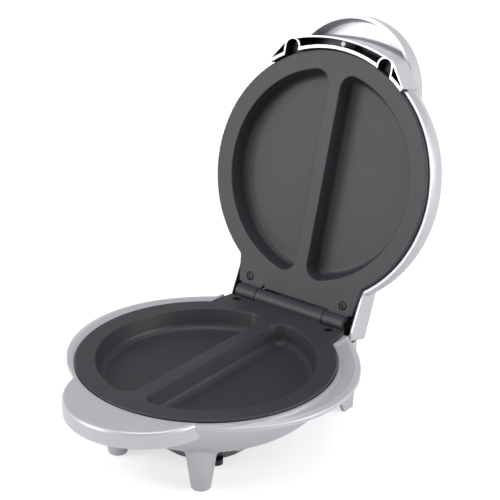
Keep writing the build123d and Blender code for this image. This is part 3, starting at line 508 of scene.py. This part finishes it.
class OMELETTE_OT_plates(bpy.types.Operator):
    """Coat both cooking plates"""

    bl_idname = "omelette.plates"
    bl_label = "Cooking plates"

    def execute(self, context):
        look = context.scene.omelette_look
        coated = ptfe_coated_aluminium("PTFE_coated_die_cast_aluminium", look, look.coating)
        dress(["lower_plate", "upper_plate"], coated)
        return {"FINISHED"}


class OMELETTE_OT_black_mouldings(bpy.types.Operator):
    """Finish the bottom cover, the cord gland, the lamp holder and the pale stud"""

    bl_idname = "omelette.black_mouldings"
    bl_label = "Plain mouldings"

    def execute(self, context):
        look = context.scene.omelette_look
        black = moulded_plastic("spark_eroded_black_ABS", look.black_abs_and_shade, 0.5, 0.8)
        dress(["bottom_cover", "cord_gland", "lamp_holder"], black)
        pale = moulded_plastic("moulded_white_polypropylene", look.pale_plastic, 0.4, 1.2)
        dress(["locating_stud"], pale)
        dress(["thermostat"], moulded_plastic("moulded_brown_phenolic", look.phenolic, 0.35, 1.0))
        dress(["terminal_block"], moulded_plastic("glazed_steatite", look.ceramic, 0.25, 2.0))
        return {"FINISHED"}


class OMELETTE_OT_fasteners(bpy.types.Operator):
    """Finish the screws, the hinge pin and the steel brackets"""

    bl_idname = "omelette.fasteners"
    bl_label = "Fasteners and brackets"

    def execute(self, context):
        look = context.scene.omelette_look
        # the screws are really blackened; the hinge pin is bare steel, and its dark finish here is
        # painted shade, as it sits in shadow
        dark = drawn_metal("blackened_steel_and_pin_shade", look.dark_steel_and_pin_shade, 0.38, 0.5, 2)
        dress(["lower_plate_screws", "upper_plate_screws", "lid_front_screws", "hinge_pin"], dark)
        bright = drawn_metal("zinc_plated_steel", look.bare_steel, 0.34, 0.5, 0)
        dress([
            "bottom_cover_screws", "lower_reflector_screws", "upper_reflector_screws",
            "lower_heater_clamps", "upper_heater_clamps", "thermostat_bracket", "thermal_fuse",
        ], bright)
        return {"FINISHED"}


class OMELETTE_OT_heating(bpy.types.Operator):
    """Finish the sheathed elements and their reflector pans"""

    bl_idname = "omelette.heating"
    bl_label = "Heating"

    def execute(self, context):
        look = context.scene.omelette_look
        sheath = drawn_metal("drawn_steel_sheath", look.sheath, 0.42, 0.6, 1)
        dress(["lower_heater", "upper_heater"], sheath)
        sheet = drawn_metal("rolled_aluminised_sheet", look.tin_sheet, 0.3, 0.8, 1)
        dress(["lower_reflector", "upper_reflector"], sheet)
        return {"FINISHED"}


class OMELETTE_OT_lights(bpy.types.Operator):
    """Finish the two light lenses and the lamps behind them"""

    bl_idname = "omelette.lights"
    bl_label = "Indicator lights"

    def execute(self, context):
        look = context.scene.omelette_look
        dress(["power_light_lens"], tinted_polycarbonate("red_polycarbonate", look.red))
        dress(["ready_light_lens"], tinted_polycarbonate("green_polycarbonate", look.green))
        dress(["neon_lamps"], tinted_polycarbonate("soda_lime_glass", linear("#F2E3CC")))
        return {"FINISHED"}


class OMELETTE_OT_marks(bpy.types.Operator):
    """Raise the rings that ejector pins left in the lid's finger hollow"""

    bl_idname = "omelette.marks"
    bl_label = "Ejector marks"

    def execute(self, context):
        detail = context.scene.omelette_detail
        paint = silver_painted_abs("silver_painted_ABS_marks", context.scene.omelette_look)
        for name, centre, facing, radius in (
            ("ejector_mark_roof", ROOF_MARK, (0, 0, -1), detail.mark_roof),
            ("ejector_mark_wall", WALL_MARK, (0, -1, 0), detail.mark_wall),
        ):
            piece_from(name, self.ring(centre, Vector(facing), radius, detail.mark_width), paint,
                       "lid")
        return {"FINISHED"}

    def ring(self, centre, facing, radius, width):
        """A low rounded ring that stands half its width off the surface."""
        across = facing.orthogonal().normalized()
        along = facing.cross(across)

        def build(made):
            rows = []
            for step in range(RING_STEPS):
                turn = 2 * math.pi * step / RING_STEPS
                out = across * math.cos(turn) + along * math.sin(turn)
                row = []
                for side in range(RING_SIDES):
                    bend = 2 * math.pi * side / RING_SIDES
                    offset = out * (radius + width / 2 * math.cos(bend))
                    offset += facing * (width / 2 * math.sin(bend))
                    row.append(made.verts.new(lid_space(Vector(centre) + offset / MM)))
                rows.append(row)
            for step in range(RING_STEPS):
                here, there = rows[step], rows[(step + 1) % RING_STEPS]
                for side in range(RING_SIDES):
                    beside = (side + 1) % RING_SIDES
                    made.faces.new((here[side], here[beside], there[beside], there[side]))

        return build


class OMELETTE_OT_stage(bpy.types.Operator):
    """Set up the floor, the soft lights, the world and the camera"""

    bl_idname = "omelette.stage"
    bl_label = "Studio"

    def execute(self, context):
        stage = context.scene.omelette_stage
        self.floor(stage)
        self.lights(stage)
        self.world(context, stage)
        self.camera(context)
        context.scene.view_settings.view_transform = "Standard"
        return {"FINISHED"}

    def floor(self, stage):
        """A pale painted board that shows white to the camera and in reflections."""
        mesh = bpy.data.meshes.new("studio_floor")
        half = stage.floor_size / 2
        mesh.from_pydata(
            [(-half, -half, 0), (half, -half, 0), (half, half, 0), (-half, half, 0)],
            [], [(0, 1, 2, 3)],
        )
        floor = bpy.data.objects.new("studio_floor", mesh)
        bpy.context.scene.collection.objects.link(floor)
        material, tree, shader = new_material("white_painted_board")
        place = add_node(tree, "ShaderNodeTexCoord").outputs["Object"]
        mottle = add_node(tree, "ShaderNodeTexNoise", {
            "Vector": place, "Scale": per_mm(400), "Detail": 1.0,
        })
        shade = add_node(tree, "ShaderNodeMapRange", {
            "Value": mottle.outputs["Fac"], "To Min": FLOOR_SHADE_LOW, "To Max": FLOOR_SHADE_HIGH,
        })
        grey = add_node(tree, "ShaderNodeCombineColor", {
            0: shade.outputs["Result"], 1: shade.outputs["Result"], 2: shade.outputs["Result"],
        })
        tree.links.new(grey.outputs["Color"], shader.inputs["Base Color"])
        shader.inputs["Roughness"].default_value = 0.9
        camera, mirrored = self.seen_rays(tree)
        # white to the camera, and a step paler than it is lit in what mirrors it
        soft = add_node(tree, "ShaderNodeMath", {
            0: mirrored, 1: FLOOR_MIRROR_GLOW,
        }, operation="MULTIPLY")
        glow = add_node(tree, "ShaderNodeMath", {
            0: camera, 1: FLOOR_CAMERA_GLOW, 2: soft.outputs["Value"],
        }, operation="MULTIPLY_ADD")
        tree.links.new(glow.outputs["Value"], shader.inputs["Emission Strength"])
        shader.inputs["Emission Color"].default_value = (1, 1, 1, 1)
        mesh.materials.append(material)

    def seen_rays(self, tree):
        """1 for camera rays, and 1 for glossy and transmission rays."""
        path = add_node(tree, "ShaderNodeLightPath")
        mirrored = add_node(tree, "ShaderNodeMath", {
            0: path.outputs["Is Glossy Ray"], 1: path.outputs["Is Transmission Ray"],
        }, operation="MAXIMUM")
        return path.outputs["Is Camera Ray"], mirrored.outputs["Value"]

    def lights(self, stage):
        aim = Vector((0, 0, 0.12))
        for name, place, size, power in (
            ("key_softbox", (-1.1, -1.5, 1.35), 1.3, stage.key_power),
            ("side_softbox", (1.7, 0.5, 0.8), 1.1, stage.side_power),
            ("top_softbox", (0.1, 0.1, 1.9), 1.4, stage.top_power),
            ("low_softbox", (-1.2, -1.9, 0.4), 1.2, stage.low_power),
        ):
            lamp = bpy.data.lights.new(name, "AREA")
            lamp.shape = "SQUARE"
            lamp.size = size
            lamp.energy = power
            item = bpy.data.objects.new(name, lamp)
            bpy.context.scene.collection.objects.link(item)
            item.location = place
            item.rotation_euler = (aim - Vector(place)).to_track_quat("-Z", "Y").to_euler()

    def world(self, context, stage):
        """Even pale light all round, white to the camera. Mirrored, it is a white sweep
        that fades out between 7 and 22 degrees above the floor, under a dim ceiling."""
        world = bpy.data.worlds.new("studio_world")
        world.use_nodes = True
        tree = world.node_tree
        tree.nodes.clear()
        camera, mirrored = self.seen_rays(tree)
        direction = add_node(tree, "ShaderNodeTexCoord").outputs["Generated"]
        rise = add_node(tree, "ShaderNodeSeparateXYZ", {0: direction}).outputs["Z"]
        sweep = add_node(tree, "ShaderNodeMapRange", {
            "Value": rise, "From Min": SWEEP_FADE_START, "From Max": SWEEP_FADE_END,
            "To Min": 1.0, "To Max": stage.ceiling,
        }, interpolation_type="SMOOTHSTEP")
        shown = add_node(tree, "ShaderNodeMix", {
            "Factor": mirrored, 2: stage.ambient, 3: sweep.outputs["Result"],
        })
        strength = add_node(tree, "ShaderNodeMix", {
            "Factor": camera, 2: shown.outputs[0], 3: 1.0,
        })
        background = add_node(tree, "ShaderNodeBackground", {
            "Color": (1, 1, 1, 1), "Strength": strength.outputs[0],
        })
        add_node(tree, "ShaderNodeOutputWorld", {"Surface": background.outputs["Background"]})
        context.scene.world = world

    def camera(self, context):
        """The photograph's view: far back and a little to the right, with a long lens."""
        azimuth, elevation, roll = (
            math.radians(angle) for angle in (VIEW_AZIMUTH, VIEW_ELEVATION, VIEW_ROLL)
        )
        back = Vector((
            math.sin(azimuth) * math.cos(elevation), -math.cos(azimuth) * math.cos(elevation),
            math.sin(elevation),
        ))
        right = Vector((math.cos(azimuth), math.sin(azimuth), 0))
        up = back.cross(right)
        tilted_right = math.cos(roll) * right + math.sin(roll) * up
        tilted_up = -math.sin(roll) * right + math.cos(roll) * up
        lens = bpy.data.cameras.new("photo_camera")
        lens.sensor_width = VIEW_SENSOR
        lens.lens = VIEW_LENS
        item = bpy.data.objects.new("photo_camera", lens)
        context.scene.collection.objects.link(item)
        rotation = Matrix((tilted_right, tilted_up, back)).transposed().to_4x4()
        place = Vector(VIEW_PLACE) * MM + Vector((0, PLATE_CENTRE_Y, 0))
        item.matrix_world = Matrix.Translation(place) @ rotation
        context.scene.camera = item


class OMELETTE_PT_panel(bpy.types.Panel):
    """Lists the steps and the settings"""

    bl_idname = "OMELETTE_PT_panel"
    bl_label = "Omelette maker"
    bl_space_type = "VIEW_3D"
    bl_region_type = "UI"
    bl_category = "Omelette"

    def draw(self, context):
        layout = self.layout
        for step in STEPS:
            layout.operator("omelette." + step)
        for group in ("omelette_look", "omelette_detail", "omelette_stage"):
            settings = getattr(context.scene, group)
            box = layout.box()
            for name in settings.__annotations__:
                box.prop(settings, name)


STEPS = (
    "stage", "shells", "plates", "black_mouldings", "fasteners", "heating", "lights", "marks",
)
CLASSES = (
    OmeletteLook, OmeletteDetail, OmeletteStage, OMELETTE_OT_stage, OMELETTE_OT_shells,
    OMELETTE_OT_plates, OMELETTE_OT_black_mouldings, OMELETTE_OT_fasteners, OMELETTE_OT_heating,
    OMELETTE_OT_lights, OMELETTE_OT_marks, OMELETTE_PT_panel,
)


def register():
    for item in CLASSES:
        bpy.utils.register_class(item)
    bpy.types.Scene.omelette_look = PointerProperty(type=OmeletteLook)
    bpy.types.Scene.omelette_detail = PointerProperty(type=OmeletteDetail)
    bpy.types.Scene.omelette_stage = PointerProperty(type=OmeletteStage)


def unregister():
    del bpy.types.Scene.omelette_stage
    del bpy.types.Scene.omelette_detail
    del bpy.types.Scene.omelette_look
    for item in reversed(CLASSES):
        bpy.utils.unregister_class(item)


def main():
    """Register the add-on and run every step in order."""
    register()
    for step in STEPS:
        getattr(bpy.ops.omelette, step)()


if __name__ == "__main__":
    main()
